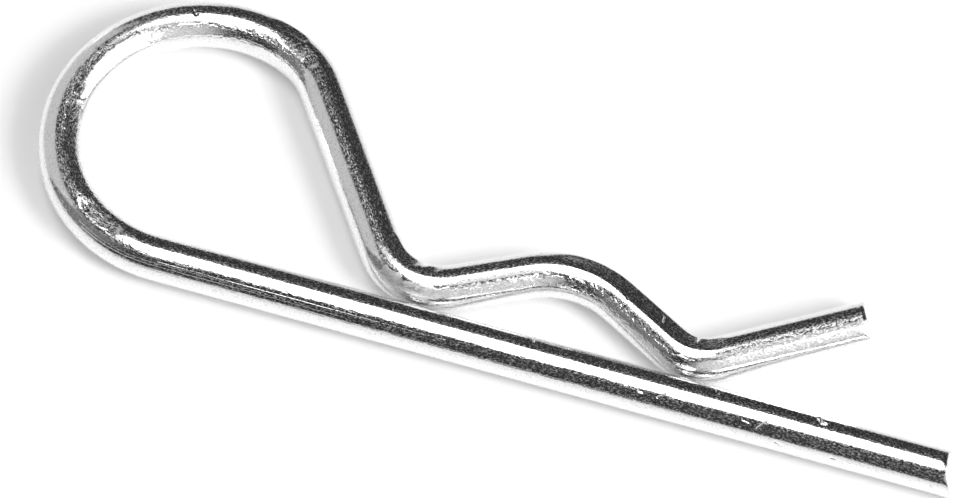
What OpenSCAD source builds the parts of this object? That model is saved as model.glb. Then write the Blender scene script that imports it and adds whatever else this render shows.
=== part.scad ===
// Hitch R-clip: one round spring wire, bent in one plane and sheared at both ends.
// Millimetres. X runs along the straight leg to its free end, Y runs across the clip from
// the leg to the humped arm, and Z points up. The clip lies flat on z = 0, centred on the origin.

/* [Wire] */
// diameter of the round wire
wire_d = 4.0; // [3.6:0.1:4.4]
// how much the wire draws down in diameter where it is bent
bend_draw = 0.04; // [0.04:0.01:0.08]

/* [Straight leg] */
// length of the straight leg along its axis, from the eye to the middle of its cut end
leg_len = 71.6; // [68:0.2:80]

/* [Round eye] */
// bend radius of the eye, to the middle of the wire
eye_r = 12.15; // [11:0.05:13]
// bend radius of the tighter last stretch of the eye, where it turns down to the leg
shoulder_r = 7.6; // [6:0.1:10]
// angle that the tighter last stretch turns through
shoulder_turn = 26; // [15:1:40]
// angle between the slanted wire below the eye and the leg
slant_angle = 54.5; // [50:0.5:60]

/* [Humped arm] */
// gap between the leg and the two bends of the arm that rest along it
rest_gap = 0.2; // [0.15:0.05:0.6]
// bend radius of the first rest, where the slanted wire turns up into the hump
first_rest_r = 5.3; // [4:0.1:6]
// angle of the wire that climbs to the hump
rise_angle = 28; // [24:0.5:32]
// bend radius of the hump, to the middle of the wire
hump_r = 8.65; // [7:0.05:10]
// radius of the pin that the hump holds, from the leg's axis to the hump's inner side
grip_r = 6.9; // [6.4:0.1:7.6]
// angle of the wire that drops from the hump
fall_angle = 28.5; // [24:0.5:32]
// bend radius of the second rest, where the wire turns up into the tail
second_rest_r = 4.0; // [3.4:0.1:5]
// angle of the tail above the leg
tail_angle = 33; // [28:0.5:38]
// straight length of the tail, to the middle of its cut end
tail_len = 13.7; // [10:0.1:15]

/* [Sheared ends] */
// lean of both cut faces: the top of the wire is shorter than its underside
shear_lean = 18; // [0:1:25]
// turn of the leg's cut face toward the arm
leg_cut_turn = 11; // [0:1:20]
// turn of the tail's cut face toward the leg
tail_cut_turn = 6; // [0:1:20]

/* [Hidden] */
$fn = 48;

wire_r = wire_d / 2;
bent_r = wire_r - bend_draw / 2;
cut_room = 2 * wire_d;

// length of each bend's end that is buried in the run beside it
lap = 0.2;

// The path is drawn from the start of the eye at [0, 0], with the leg along the x axis.
// middle of the wire at both rests and at the hump's top
rest_y = wire_d + rest_gap;
hump_y = grip_r + wire_r;

// directions of the wire around the eye, counted from the leg
eye_turn = 180 + slant_angle - shoulder_turn;
eye_end = 270 - eye_turn;
shoulder_end = eye_end - shoulder_turn;

// a point at radius r and angle a around c
function around(c, r, a) = [c[0] + r * cos(a), c[1] + r * sin(a)];

// the angle that a lap takes up on a bend of radius r
function lap_angle(r) = lap / r * 180 / PI;

// a straight run leaves p at angle a and reaches height y: its length and its far end
function run_len(p, a, y) = (y - p[1]) / sin(a);
function run_end(p, a, y) = around(p, run_len(p, a, y), a);

// the eye and its shoulder
eye_c = [0, eye_r];
shoulder_c = around(eye_c, eye_r - shoulder_r, eye_end);
slant_start = around(shoulder_c, shoulder_r, shoulder_end);

// the first rest turns up from the slanted wire
first_in_y = rest_y + first_rest_r * (1 - cos(slant_angle));
slant_stop = run_end(slant_start, -slant_angle, first_in_y);
first_c = around(slant_stop, first_rest_r, 90 - slant_angle);
rise_start = around(first_c, first_rest_r, rise_angle - 90);

// the hump turns down again over the pin
hump_in_y = hump_y - hump_r * (1 - cos(rise_angle));
rise_stop = run_end(rise_start, rise_angle, hump_in_y);
hump_c = around(rise_stop, hump_r, rise_angle - 90);
fall_start = around(hump_c, hump_r, 90 - fall_angle);

// the second rest turns up into the tail
second_in_y = rest_y + second_rest_r * (1 - cos(fall_angle));
fall_stop = run_end(fall_start, -fall_angle, second_in_y);
second_c = around(fall_stop, second_rest_r, 90 - fall_angle);
tail_start = around(second_c, second_rest_r, tail_angle - 90);
tail_stop = around(tail_start, tail_len, tail_angle);

// middle of the finished clip: its longest end is the underside of the leg's cut face
leg_reach = leg_len + wire_r * sqrt(pow(tan(leg_cut_turn), 2) + pow(tan(shear_lean) / cos(leg_cut_turn), 2));
mid_x = (leg_reach - eye_r - bent_r) / 2;
mid_y = (2 * eye_r + bent_r - wire_r) / 2;

// a straight run of wire from p, at angle a
module run(p, a, len)
    translate([p[0], p[1], wire_r])
        rotate([0, 90, a])
            cylinder(r = wire_r, h = len);

// a bend of wire round c, from angle a0 on through the angle turn, buried a lap deep at both ends
module bend(c, r, a0, turn, thick = bent_r)
    translate([c[0], c[1], wire_r])
        rotate([0, 0, a0 - lap_angle(r)])
            rotate_extrude(angle = turn + 2 * lap_angle(r))
                translate([r, 0])
                    circle(r = thick);

// everything beyond a cut face at p: lean tips the face up, a turns it in the plane
module beyond(p, lean, a)
    translate([p[0], p[1], wire_r])
        rotate([0, -lean, a])
            translate([0, -cut_room, -cut_room])
                cube(2 * cut_room);

// the straight leg, sheared at its free end
module leg()
    difference() {
        run([0, 0], 0, leg_len + wire_d);
        beyond([leg_len, 0], shear_lean, leg_cut_turn);
    }

// the round eye with its tighter shoulder
module eye() {
    bend(eye_c, eye_r, eye_end, eye_turn);
    bend(shoulder_c, shoulder_r, shoulder_end, shoulder_turn, bent_r - bend_draw / 2);
}

// the humped arm, sheared at the end of its tail
module arm()
    difference() {
        union() {
            run(slant_start, -slant_angle, run_len(slant_start, -slant_angle, first_in_y));
            bend(first_c, first_rest_r, 270 - slant_angle, slant_angle + rise_angle);
            run(rise_start, rise_angle, run_len(rise_start, rise_angle, hump_in_y));
            bend(hump_c, hump_r, 90 - fall_angle, rise_angle + fall_angle);
            run(fall_start, -fall_angle, run_len(fall_start, -fall_angle, second_in_y));
            bend(second_c, second_rest_r, 270 - fall_angle, fall_angle + tail_angle);
            run(tail_start, tail_angle, tail_len + wire_d);
        }
        beyond(tail_stop, shear_lean, tail_angle - tail_cut_turn);
    }

module clip_wire()
    color([0.78, 0.79, 0.80])
        translate([-mid_x, -mid_y, 0]) {
            leg();
            eye();
            arm();
        }

clip_wire();
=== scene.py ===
# Hitch R-clip: one bright zinc plated spring wire, lying on a plain pale table.
import bpy
import math
import numpy as np
from mathutils import Matrix, Vector


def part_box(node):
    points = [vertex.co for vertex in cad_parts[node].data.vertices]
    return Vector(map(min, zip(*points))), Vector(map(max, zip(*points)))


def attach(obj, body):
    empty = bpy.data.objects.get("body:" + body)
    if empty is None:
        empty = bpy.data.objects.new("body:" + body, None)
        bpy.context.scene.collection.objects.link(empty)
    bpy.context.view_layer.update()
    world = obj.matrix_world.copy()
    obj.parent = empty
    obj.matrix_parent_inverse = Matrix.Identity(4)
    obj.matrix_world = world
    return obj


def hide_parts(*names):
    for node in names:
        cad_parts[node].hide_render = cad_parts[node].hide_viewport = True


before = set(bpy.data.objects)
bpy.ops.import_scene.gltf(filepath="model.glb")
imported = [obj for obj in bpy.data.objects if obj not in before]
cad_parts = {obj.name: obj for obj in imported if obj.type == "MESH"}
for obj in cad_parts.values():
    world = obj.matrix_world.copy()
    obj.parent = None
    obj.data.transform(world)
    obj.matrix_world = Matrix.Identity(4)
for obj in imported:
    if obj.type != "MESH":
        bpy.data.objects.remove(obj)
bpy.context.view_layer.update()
print("frame loaded")

mm = 0.001

# The wire, in millimetres and degrees, from the leg's free end to the tail's. Dents and flats are cut
# into the shape itself. "at" and "long" run along the wire; "round" and "wide" are degrees round it,
# from its left side (0) up over its top (90), and "edge" is how softly a mark starts and stops.
wire = {
    "radius": 2.0,
    "legLength": 71.6,
    "eyeRadius": 12.15,         # all bend radii are to the wire's middle
    "shoulderRadius": 7.6,
    "shoulderTurn": 26.0,
    "slantAngle": 54.5,         # slant, rise, fall and tail are angles from the leg
    "restGap": 0.2,             # air between the arm and the leg at both rests
    "firstRestRadius": 5.3,
    "riseAngle": 28.0,
    "humpRadius": 8.65,
    "gripRadius": 6.9,          # radius of the shaft that the hump holds
    "fallAngle": 28.5,
    "secondRestRadius": 4.0,
    "tailAngle": 33.0,
    "tailLength": 13.7,
    "shearLean": 18.0,          # both cuts lean this much over the wire's top
    "legCutTurn": 11.0,         # and these much to its side
    "tailCutTurn": 6.0,
    "cutFade": 5.0,             # the rings stop leaning this far from a cut
    "edgeRound": 0.14,          # rounding of the rim of a cut
    "ringStep": 0.21,           # from one ring of points to the next
    "around": 96,               # points in a ring
    "bendBlend": 0.5,           # how softly a bend starts and stops
    "bendDraw": 0.02,           # how much the solid's bends are thinned, on the radius
    "dents": {                  # pressed by the bending tools and the shears; a depth below 0 stands proud
        "eyeGrip": {"at": 89.0, "long": 3.4, "round": 122, "wide": 16, "depth": 0.05, "edge": 0.22},
        "eyePress": {"at": 114.5, "long": 2.4, "round": 62, "wide": 20, "depth": 0.06, "edge": 0.5},
        "restCrease": {"at": 141.3, "long": 0.5, "round": 44, "wide": 22, "depth": 0.15, "edge": 0.3},
        "humpMark": {"at": 149.8, "long": 0.4, "round": 134, "wide": 12, "depth": 0.07, "edge": 0.25},
        "tailChip": {"at": 183.7, "long": 0.7, "round": 138, "wide": 11, "depth": 0.28, "edge": 0.3},
        "tailBreak": {"at": 183.9, "long": 0.9, "round": 56, "wide": 20, "depth": 0.16, "edge": 0.3},
        "tailBurr": {"at": 183.6, "long": 0.5, "round": 205, "wide": 26, "depth": -0.05, "edge": 0.25},
        "legChip": {"at": 0.4, "long": 0.6, "round": 96, "wide": 9, "depth": 0.16, "edge": 0.25},
        "legBurr": {"at": 0.3, "long": 0.5, "round": 330, "wide": 24, "depth": -0.03, "edge": 0.25},
    },
    "flats": {                  # pressed by the bending tools; "round" is the way each one faces
        "eyeFlat": {"at": 77.4, "long": 4.4, "round": 92, "depth": 0.15, "edge": 0.4},
        "shoulderTopFlat": {"at": 115.8, "long": 4.2, "round": 92, "depth": 0.14, "edge": 0.4},
        "shoulderFlat": {"at": 113.8, "long": 3.0, "round": 63, "depth": 0.16, "edge": 0.35},
        "restFlat": {"at": 138.5, "long": 4.4, "round": 62, "depth": 0.13, "edge": 0.25},
        "restEndFlat": {"at": 142.4, "long": 1.4, "round": 66, "depth": 0.06, "edge": 0.25},
        "fallFlat": {"at": 161.1, "long": 14.6, "round": 63, "depth": 0.19, "edge": 0.35},
        "tailFlat": {"at": 169.0, "long": 3.6, "round": 67, "depth": 0.13, "edge": 0.35},
    },
}


def clipPath(w):
    # The wire as a list of stretches, each a length and a turn to the left. A bend is radius x turn
    # long, and a straight that joins two bends is (height still to go) / sin(angle) long.
    restY = 2 * w["radius"] + w["restGap"]
    humpY = w["gripRadius"] + w["radius"]
    slant, rise = math.radians(w["slantAngle"]), math.radians(w["riseAngle"])
    fall, tail = math.radians(w["fallAngle"]), math.radians(w["tailAngle"])
    shoulder = math.radians(w["shoulderTurn"])
    eyeTurn = math.pi + slant - shoulder
    # height of the slant's upper end: up the eye, then round the shoulder
    eyeTopY = w["eyeRadius"] * (1 - math.cos(eyeTurn))
    slantY = eyeTopY + w["shoulderRadius"] * (math.cos(slant) - math.cos(slant - shoulder))
    slantEndY = restY + w["firstRestRadius"] * (1 - math.cos(slant))
    riseY = restY + w["firstRestRadius"] * (1 - math.cos(rise))
    riseEndY = humpY - w["humpRadius"] * (1 - math.cos(rise))
    fallY = humpY - w["humpRadius"] * (1 - math.cos(fall))
    fallEndY = restY + w["secondRestRadius"] * (1 - math.cos(fall))
    return [
        (w["legLength"], 0.0),
        (w["eyeRadius"] * eyeTurn, -eyeTurn),
        (w["shoulderRadius"] * shoulder, -shoulder),
        ((slantY - slantEndY) / math.sin(slant), 0.0),
        (w["firstRestRadius"] * (slant + rise), slant + rise),
        ((riseEndY - riseY) / math.sin(rise), 0.0),
        (w["humpRadius"] * (rise + fall), -rise - fall),
        ((fallY - fallEndY) / math.sin(fall), 0.0),
        (w["secondRestRadius"] * (fall + tail), fall + tail),
        (w["tailLength"], 0.0),
    ]


def runningSum(values, step):
    # sum so far of (mean of two neighbours) x step, starting from 0
    return np.concatenate([[0], np.cumsum((values[1:] + values[:-1]) / 2 * step)])


def wireAxis(w):
    # Heading = pi + running sum of curvature, and place = running sum of (cos, sin) of the heading.
    # Curvature is the turn of each stretch over its length, softened at its ends by a short bell.
    step, spare = 0.02, 4.0     # step along the wire, and the run past both its ends
    lengths, turns = np.array(clipPath(w)).T
    ends = np.concatenate([[0], np.cumsum(lengths)])
    s = np.arange(-spare, ends[-1] + spare, step)
    curve = np.zeros_like(s)
    for start, end, turn in zip(ends[:-1], ends[1:], turns):
        curve += turn / (end - start) * np.clip(np.minimum(s - start, end - s) / step + 0.5, 0, 1)
    bell = np.exp(-0.5 * (np.arange(-spare, spare + step / 2, step) / w["bendBlend"]) ** 2)
    curve = np.convolve(curve, bell / bell.sum(), mode="same")
    heading = math.pi + runningSum(curve, step)
    x, y = runningSum(np.cos(heading), step), runningSum(np.sin(heading), step)
    first = np.searchsorted(s, 0)
    return s, x - x[first] + w["legLength"], y - y[first], heading, ends[-1]


def markStep(along, mark):
    # a flat-topped step: 1 along the mark's length, easing to 0 past both its ends
    return (np.tanh((along - mark["at"] + mark["long"] / 2) / mark["edge"])
            - np.tanh((along - mark["at"] - mark["long"] / 2) / mark["edge"])) / 2


def dentDepth(along, turn, dents):
    # each dent is depth x a step along the wire x a bell round it; they are summed
    depth = np.zeros_like(along)
    for d in dents.values():
        depth += d["depth"] * markStep(along, d) * np.exp(-((turn - d["round"]) / d["wide"]) ** 2)
    return depth


def flatReach(along, turn, radius, flats):
    # a flat is a chord of the round: its surface lies (radius - depth) / cos(turn from its middle) out
    widest = 60                 # past this turn a chord is outside the round in any case
    reach = np.full_like(along, radius)
    for f in flats.values():
        off = np.radians(np.clip(np.abs((turn - f["round"] + 180) % 360 - 180), 0, widest))
        reach = np.minimum(reach, (radius - f["depth"] * markStep(along, f)) / np.cos(off))
    return reach


def wireRings(w, total):
    # Each ring's place along the wire, and its size: 0 at a cut's middle, 1 on the skin. Between the
    # face and the skin the rim is a quarter round, edgeRound x (1 - cos) back and (1 - sin) in.
    inward = np.array([0.12, 0.25, 0.4, 0.55, 0.7, 0.82, 0.9])
    curl = np.radians([0, 30, 60, 90])
    clear = 0.3                 # plain rings start this far from a cut
    size = np.concatenate([inward, 1 - w["edgeRound"] / w["radius"] * (1 - np.sin(curl))])
    back = np.concatenate([0 * inward, w["edgeRound"] * (1 - np.cos(curl))])
    plain = np.linspace(0, total, int(total / w["ringStep"]))
    plain = plain[(plain > clear) & (plain < total - clear)]
    row = np.concatenate([back, plain, total - back[::-1]])
    out = np.concatenate([size, np.ones(len(plain)), size[::-1]])
    return row[:, None], out[:, None]


def cutLean(w, cutTurn, left, up, away):
    # A cut plane lies (up x lean / cos(turn) - left x tan(turn)) along the wire from its middle. The
    # rings follow it at the cut, and less and less the further away they are.
    cutTurn = np.radians(cutTurn)
    plane = np.tan(np.radians(w["shearLean"])) / np.cos(cutTurn) * up - np.tan(cutTurn) * left
    return plane * np.clip(1 - away / w["cutFade"], 0, 1)


def ringFaces(n, m):
    # Four-sided faces between n rings of m points, and a fan of triangles from each end ring to its
    # middle point; the two middle points come after the rings.
    i, j = np.meshgrid(np.arange(n - 1), np.arange(m), indexing="ij")
    k = (j + 1) % m
    quads = np.stack([i * m + j, i * m + k, (i + 1) * m + k, (i + 1) * m + j], -1).reshape(-1, 4)
    j = np.arange(m)
    k = (j + 1) % m
    first = np.stack([np.full(m, n * m), k, j], -1)
    last = np.stack([np.full(m, n * m + 1), (n - 1) * m + j, (n - 1) * m + k], -1)
    return quads.tolist() + first.tolist() + last.tolist()


def sweepWire(name, w):
    # Point = axis(s) + r cos(t) left + r sin(t) up, with s the way along the wire and t the way
    # round it; r is the radius where nothing is pressed. "wireCoord" keeps (s, left, up) for the plating.
    s, x, y, heading, total = wireAxis(w)
    row, out = wireRings(w, total)
    t = np.linspace(0, 2 * np.pi, w["around"], endpoint=False)
    left = w["radius"] * out * np.cos(t)
    up = w["radius"] * out * np.sin(t)
    along = row + cutLean(w, w["legCutTurn"], left, up, row) \
        - cutLean(w, w["tailCutTurn"], left, up, total - row)
    turn = np.degrees(t) + 0 * along
    pressed = flatReach(along, turn, w["radius"], w["flats"]) - dentDepth(along, turn, w["dents"])
    left, up = left * pressed / w["radius"], up * pressed / w["radius"]
    h = np.interp(along, s, heading)
    px = np.interp(along, s, x) - np.sin(h) * left
    py = np.interp(along, s, y) + np.cos(h) * left
    pz = w["radius"] + up
    points = np.stack([px, py, pz], -1).reshape(-1, 3)
    coord = np.stack([along, left, up], -1).reshape(-1, 3)
    # the middle point of each cut
    points = np.vstack([points] + [(np.interp(e, s, x), np.interp(e, s, y), w["radius"]) for e in (0, total)])
    coord = np.vstack([coord, (0, 0, 0), (total, 0, 0)])
    # the solid's box starts at the eye's outside in x, and at the leg's side in y
    low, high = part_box("clip_wire")
    points[:, 0] += low.x / mm + w["eyeRadius"] + w["radius"] - w["bendDraw"]
    points[:, 1] += low.y / mm + w["radius"]
    mesh = bpy.data.meshes.new(name)
    mesh.from_pydata((points * mm).tolist(), [], ringFaces(len(row), w["around"]))
    mesh.polygons.foreach_set("use_smooth", np.ones(len(mesh.polygons), bool))
    place = mesh.attributes.new("wireCoord", "FLOAT_VECTOR", "POINT")
    place.data.foreach_set("vector", coord.astype(np.float32).ravel())
    mesh.update()
    piece = bpy.data.objects.new(name, mesh)
    bpy.context.scene.collection.objects.link(piece)
    return piece


# Bright zinc plate. Heights and depths are in thousandths of a millimetre, places in millimetres along
# the wire and degrees round it, as in the wire's own dictionary.
plate = {
    "pepper": 3.6,              # height of the fine grain
    "drawn": 3.0,               # height of the lines left by drawing the wire
    "shine": 0.07,              # roughness of the bright grains
    "dull": 0.52,               # roughness of the specks between them
    "speck": (0.41, 0.74),      # grain heights at which a speck starts and is full
    "drift": (2.6, 36.0),       # how far a tool mark's ends and sides wander
    "ragged": (0.3, 4.0),       # and how softly they start
    "faceRough": 26.0,          # height of the lumps on a cut face
    "faceRim": (1.9, 1.75),     # they fade in between these distances from the wire's middle
    "tint": ((0.28, (0.66, 0.66, 0.67, 1)), (0.46, (0.94, 0.94, 0.94, 1))),
    # lumps per millimetre along and across the wire, layers of detail, and how strong the fine ones are
    "grains": {
        "drift": ((1.3, 1.8, 1.8), 2.0, 0.55),
        "pepper": ((4.0, 9.0, 9.0), 4.0, 0.75),
        "drawn": ((0.05, 5.5, 5.5), 3.0, 0.6),
        "lumps": ((1.5, 3.2, 3.2), 3.0, 0.65),
        "streaks": ((0.6, 5.0, 5.0), 3.0, 0.65),
        "tint": ((5.5, 7.0, 7.0), 2.0, 0.55),
    },
    # rubbed stretches: start and end along the wire, low and high round it, depth, grain, added roughness
    "toolMarks": {
        "legDrawn": (22, 80, 26, 66, 13, "drawn", 0.0),
        "legEnd": (73.5, 79.0, 76, 106, 24, "lumps", 0.05),
        "eyeStart": (77, 87.3, 96, 138, 14, "lumps", 0.05),
        "eyeGrip": (87.3, 91, 98, 140, 60, "lumps", 0.05),
        "eyeTop": (90.5, 104, 84, 112, 16, "lumps", 0.05),
        "shoulder": (104, 116, 120, 150, 30, "streaks", 0.03),
        "shoulderEnd": (111, 117, 98, 120, 18, "lumps", 0.05),
        "restStart": (137, 139.5, 85, 110, 10, "lumps", 0.1),
        "restWorn": (138.6, 143, 119, 152, 9, "lumps", 0.34),
        "hump": (142, 151, 121, 131, 36, "streaks", 0.04),
        "fall": (149, 168, 122, 142, 24, "streaks", 0.06),
        "humpDrawn": (150, 169, 124, 142, 24, "drawn", 0.0),
        "shoulderDrawn": (101, 118, 122, 152, 34, "drawn", 0.0),
        "tail": (168, 184, 104, 128, 9, "streaks", 0.03),
    },
    # single scratches: place along and round the wire, length, half width, lean from its run, depth
    "scratches": {
        "hook": (12.1, 110, 0.55, 0.27, 55, 90),
        "hookFoot": (11.7, 103, 0.3, 0.22, 0, 70),
        "nick": (16.8, 56, 1.0, 0.13, -50, 30),
        "fleck": (18.2, 55, 0.6, 0.14, 8, 30),
        "slash": (25.8, 60, 0.7, 0.13, -40, 40),
        "dot": (27.6, 58, 0.3, 0.22, 0, 50),
        "fleckTop": (21.3, 112, 0.4, 0.18, 60, 40),
        "scoreTop": (37.9, 128, 1.1, 0.15, 75, 40),
        "pit": (10.2, 20, 0.3, 0.2, 0, 40),
        "pitRow": (14.8, 16, 1.2, 0.2, 20, 35),
        "pitLow": (16.8, 8, 0.4, 0.22, 80, 40),
        "drawnLine": (62.0, 47, 33, 0.1, 0, 19),
        "drawnLineTop": (58.0, 54, 26, 0.08, 0, 11),
        "drawnLineLow": (66.0, 40, 24, 0.08, 0, 12),
        "eyeFleck": (105.5, 91, 0.4, 0.3, 60, 50),
        "slantFleck": (124.0, 66, 0.4, 0.2, 0, 40),
        "slantDot": (134.0, 72, 0.3, 0.18, 0, 40),
        "humpFleck": (160.3, 88, 0.5, 0.2, 30, 40),
        "fallFleck": (164.0, 60, 0.8, 0.14, 60, 40),
    },
}


def calc(tree, kind, *values, clamp=False):
    # one Math node; each value is a number or another node's output
    node = tree.nodes.new("ShaderNodeMath")
    node.operation = kind
    node.use_clamp = clamp
    for socket, value in zip(node.inputs, values):
        if isinstance(value, (int, float)):
            socket.default_value = value
        else:
            tree.links.new(value, socket)
    return node.outputs[0]


def soften(tree, value, low, high, first=0.0, last=1.0):
    # runs from first to last as the value goes from low to high, easing at both ends
    node = tree.nodes.new("ShaderNodeMapRange")
    node.interpolation_type = "SMOOTHSTEP"
    for socket, number in zip(node.inputs[1:5], (low, high, first, last)):
        socket.default_value = number
    tree.links.new(value, node.inputs[0])
    return node.outputs[0]


def between(tree, value, low, high, edge):
    # 1 from low to high and 0 outside: a step up at low x a step down at high
    return calc(tree, "MULTIPLY", soften(tree, value, low - edge, low + edge),
                soften(tree, value, high + edge, high - edge))


def lengthOf(tree, a, b):
    # square root of (a x a + b x b)
    squares = calc(tree, "ADD", calc(tree, "MULTIPLY", a, a), calc(tree, "MULTIPLY", b, b))
    return calc(tree, "SQRT", squares)


def grainNoise(tree, place, stretch, detail, fine):
    # noise over the wire: its place x (lumps per millimetre), and finer layers upon that
    scaled = tree.nodes.new("ShaderNodeVectorMath")
    scaled.operation = "MULTIPLY"
    scaled.inputs[1].default_value = stretch
    tree.links.new(place, scaled.inputs[0])
    node = tree.nodes.new("ShaderNodeTexNoise")
    node.inputs["Scale"].default_value = 1.0
    node.inputs["Detail"].default_value = detail
    node.inputs["Roughness"].default_value = fine
    tree.links.new(scaled.outputs[0], node.inputs["Vector"])
    return node.outputs["Fac"]


def scratchGroove(tree, along, angle, score):
    # Run and rise are millimetres from the scratch's middle, turned by its lean into a line along it
    # and a side across it. The groove is full on the line and eases to nothing half a width away.
    at, turn, long, wide, lean, depth = score
    lean = math.radians(lean)
    run = calc(tree, "SUBTRACT", along, at)
    rise = calc(tree, "MULTIPLY", calc(tree, "SUBTRACT", angle, turn), math.radians(wire["radius"]))
    line = calc(tree, "ADD", calc(tree, "MULTIPLY", run, math.cos(lean)),
                calc(tree, "MULTIPLY", rise, math.sin(lean)))
    side = calc(tree, "SUBTRACT", calc(tree, "MULTIPLY", rise, math.cos(lean)),
                calc(tree, "MULTIPLY", run, math.sin(lean)))
    past = calc(tree, "MAXIMUM", calc(tree, "SUBTRACT", calc(tree, "ABSOLUTE", line), long / 2), 0.0)
    return soften(tree, lengthOf(tree, past, side), wide, 0.0)


def zincPlate(p):
    # One sum of heights, in thousandths of a millimetre, makes the relief: grain + drawing lines +
    # tool marks + cut faces - scratches. Roughness = grain's own + what each tool mark adds.
    material = bpy.data.materials.new("zincPlate")
    material.use_nodes = True
    tree = material.node_tree
    shader = tree.nodes["Principled BSDF"]
    shader.inputs["Metallic"].default_value = 1
    read = tree.nodes.new("ShaderNodeAttribute")
    read.attribute_name = "wireCoord"
    split = tree.nodes.new("ShaderNodeSeparateXYZ")
    tree.links.new(read.outputs["Vector"], split.inputs[0])
    along, left, up = split.outputs
    angle = calc(tree, "DEGREES", calc(tree, "ARCTAN2", up, left))
    grains = {name: grainNoise(tree, read.outputs["Vector"], *size) for name, size in p["grains"].items()}
    height = calc(tree, "MULTIPLY", grains["pepper"], p["pepper"])
    height = calc(tree, "MULTIPLY_ADD", grains["drawn"], p["drawn"], height)
    rough = soften(tree, grains["pepper"], *p["speck"], p["shine"], p["dull"])

    # a tool mark is 1 inside its stretch and its angles, with edges that wander
    drift = calc(tree, "SUBTRACT", grains["drift"], 0.5)
    alongDrift = calc(tree, "MULTIPLY_ADD", drift, p["drift"][0], along)
    angleDrift = calc(tree, "MULTIPLY_ADD", drift, p["drift"][1], angle)
    for start, end, low, high, depth, grain, dull in p["toolMarks"].values():
        mask = calc(tree, "MULTIPLY", between(tree, alongDrift, start, end, p["ragged"][0]),
                    between(tree, angleDrift, low, high, p["ragged"][1]))
        height = calc(tree, "MULTIPLY_ADD", calc(tree, "MULTIPLY", mask, depth), grains[grain], height)
        rough = calc(tree, "MULTIPLY_ADD", mask, dull, rough)

    # a cut face is 1 inside the wire's rim, 0 on its skin
    face = soften(tree, lengthOf(tree, left, up), *p["faceRim"])
    face = calc(tree, "MULTIPLY", face, p["faceRough"])
    height = calc(tree, "MULTIPLY_ADD", face, grains["lumps"], height)
    for score in p["scratches"].values():
        height = calc(tree, "MULTIPLY_ADD", scratchGroove(tree, along, angle, score), -score[-1], height)

    bump = tree.nodes.new("ShaderNodeBump")
    bump.inputs["Distance"].default_value = mm / 1000
    tree.links.new(height, bump.inputs["Height"])
    tree.links.new(bump.outputs[0], shader.inputs["Normal"])
    tree.links.new(rough, shader.inputs["Roughness"])
    shade = tree.nodes.new("ShaderNodeValToRGB")
    for stop, (position, colour) in zip(shade.color_ramp.elements, p["tint"]):
        stop.position, stop.color = position, colour
    tree.links.new(grains["tint"], shade.inputs[0])
    tree.links.new(shade.outputs[0], shader.inputs["Base Color"])
    return material


clipWire = sweepWire("clipWire", wire)
print("wire swept")
clipWire.data.materials.append(zincPlate(plate))
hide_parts("clip_wire")
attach(clipWire, "root")
print("wire plated")

# The table, a plain pale floor. "lift" is the light added for the camera and for the wire's reflections.
table = {"size": 4.0, "colour": (0.93, 0.93, 0.93, 1), "roughness": 0.3, "lift": 0.13}


def layTable(t):
    # one square, half its size each way from the middle, that glows by "lift" to the rays which see it
    half = t["size"] / 2
    corners = [(-half, -half, 0), (half, -half, 0), (half, half, 0), (-half, half, 0)]
    mesh = bpy.data.meshes.new("table")
    mesh.from_pydata(corners, [], [(0, 1, 2, 3)])
    piece = bpy.data.objects.new("table", mesh)
    bpy.context.scene.collection.objects.link(piece)
    material = bpy.data.materials.new("tablePaint")
    material.use_nodes = True
    tree = material.node_tree
    shader = tree.nodes["Principled BSDF"]
    shader.inputs["Base Color"].default_value = t["colour"]
    shader.inputs["Roughness"].default_value = t["roughness"]
    shader.inputs["Emission Color"].default_value = (1, 1, 1, 1)
    ray = tree.nodes.new("ShaderNodeLightPath").outputs
    seen = calc(tree, "ADD", ray["Is Camera Ray"], ray["Is Glossy Ray"], clamp=True)
    seen = calc(tree, "ADD", seen, ray["Is Transmission Ray"], clamp=True)
    tree.links.new(calc(tree, "MULTIPLY", seen, t["lift"]), shader.inputs["Emission Strength"])
    mesh.materials.append(material)
    return piece


layTable(table)
print("table laid")

# Lamps hang round the clip, all at one distance in metres. "round" turns from +X towards +Y and "height"
# is above the table, in degrees. "sides" are half angles as seen from the clip; glow 1 looks white.
lamps = {
    "keyLamp": {"round": -16, "height": 40, "sides": (10, 9), "glow": 16, "shape": "ELLIPSE"},
    "roofPanel": {"round": 176, "height": 81.5, "sides": (11.0, 20.8), "glow": 4.6, "shape": "ELLIPSE"},
    "roofRight": {"round": 323, "height": 78.5, "sides": (8.5, 9.5), "glow": 0.7, "shape": "ELLIPSE"},
    "rightLow": {"round": -5, "height": 19, "sides": (33, 21), "glow": 1.5, "shape": "RECTANGLE"},
    "rightHigh": {"round": -4, "height": 48, "sides": (24, 21), "glow": 1.5, "shape": "ELLIPSE"},
    "leftPanel": {"round": 158, "height": 25, "sides": (30, 26), "glow": 0.54, "shape": "RECTANGLE"},
    "frontPanel": {"round": 297, "height": 30, "sides": (22, 32), "glow": 0.6, "shape": "ELLIPSE"},
    "farPanel": {"round": 208, "height": 26, "sides": (17, 28), "glow": 0.15, "shape": "RECTANGLE"},
    "backStrip": {"round": 120, "height": 5, "sides": (14, 5), "glow": 0.9, "shape": "RECTANGLE"},
}
lampDistance = 1.3
roofHeight = 70                 # a lamp higher than this is squared to the X axis
roomColour = (0.031, 0.03, 0.03, 1)


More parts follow.
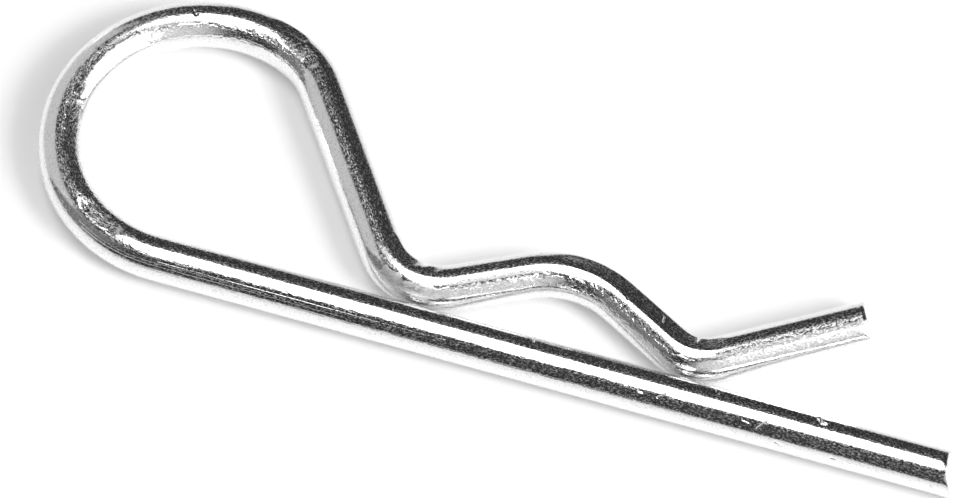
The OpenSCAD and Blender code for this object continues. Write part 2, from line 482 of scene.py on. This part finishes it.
def hangLamp(name, lamp):
    # It hangs at distance x (cos round cos height, sin round cos height, sin height) and faces the
    # clip. A side is 2 x distance x tan(half angle), and the power is glow x pi x area.
    bearing, height = math.radians(lamp["round"]), math.radians(lamp["height"])
    toward = Vector((math.cos(bearing) * math.cos(height), math.sin(bearing) * math.cos(height),
                     math.sin(height)))
    data = bpy.data.lights.new(name, "AREA")
    data.shape = lamp["shape"]
    data.size, data.size_y = (2 * lampDistance * math.tan(math.radians(a)) for a in lamp["sides"])
    area = data.size * data.size_y * (math.pi / 4 if lamp["shape"] == "ELLIPSE" else 1)
    data.energy = lamp["glow"] * math.pi * area
    across = Vector((-math.sin(bearing), math.cos(bearing), 0))
    if lamp["height"] > roofHeight:
        across = Vector((1, 0, 0))
    upward = toward.cross(across).normalized()
    across = upward.cross(toward).normalized()
    turn = np.array([across, upward, toward]).T
    hung = bpy.data.objects.new(name, data)
    hung.location = toward * lampDistance
    hung.rotation_euler = Matrix(turn.tolist()).to_euler()
    hung.visible_camera = False
    bpy.context.scene.collection.objects.link(hung)


for lampName, lampValues in lamps.items():
    hangLamp(lampName, lampValues)
world = bpy.data.worlds.new("room")
world.use_nodes = True
world.node_tree.nodes["Background"].inputs["Color"].default_value = roomColour
bpy.context.scene.world = world
bpy.context.scene.view_settings.view_transform = "Standard"
print("lamps hung")

# The camera. Its place is in metres, its way round and its height are in degrees.
camera = {
    "aim": (-0.00268, -0.00286, 0.002),     # the point that it looks at
    "round": 17.49,
    "height": 59.23,
    "distance": 0.9,
    "lens": 390.4,              # lens and film are in millimetres
    "film": 36,
    "farthest": 20,             # it sees this far, in metres
}


def setCamera(c):
    # It stands at aim + distance x (sin round cos height, -cos round cos height, sin height).
    data = bpy.data.cameras.new("camera")
    data.lens = c["lens"]
    data.sensor_width = c["film"]
    data.clip_end = c["farthest"]
    bearing, height = math.radians(c["round"]), math.radians(c["height"])
    back = Vector((math.sin(bearing) * math.cos(height), -math.cos(bearing) * math.cos(height),
                   math.sin(height)))
    eye = bpy.data.objects.new("camera", data)
    eye.location = Vector(c["aim"]) + back * c["distance"]
    eye.rotation_euler = (-back).to_track_quat("-Z", "Y").to_euler()
    bpy.context.scene.collection.objects.link(eye)
    bpy.context.scene.camera = eye


setCamera(camera)
print("camera set")
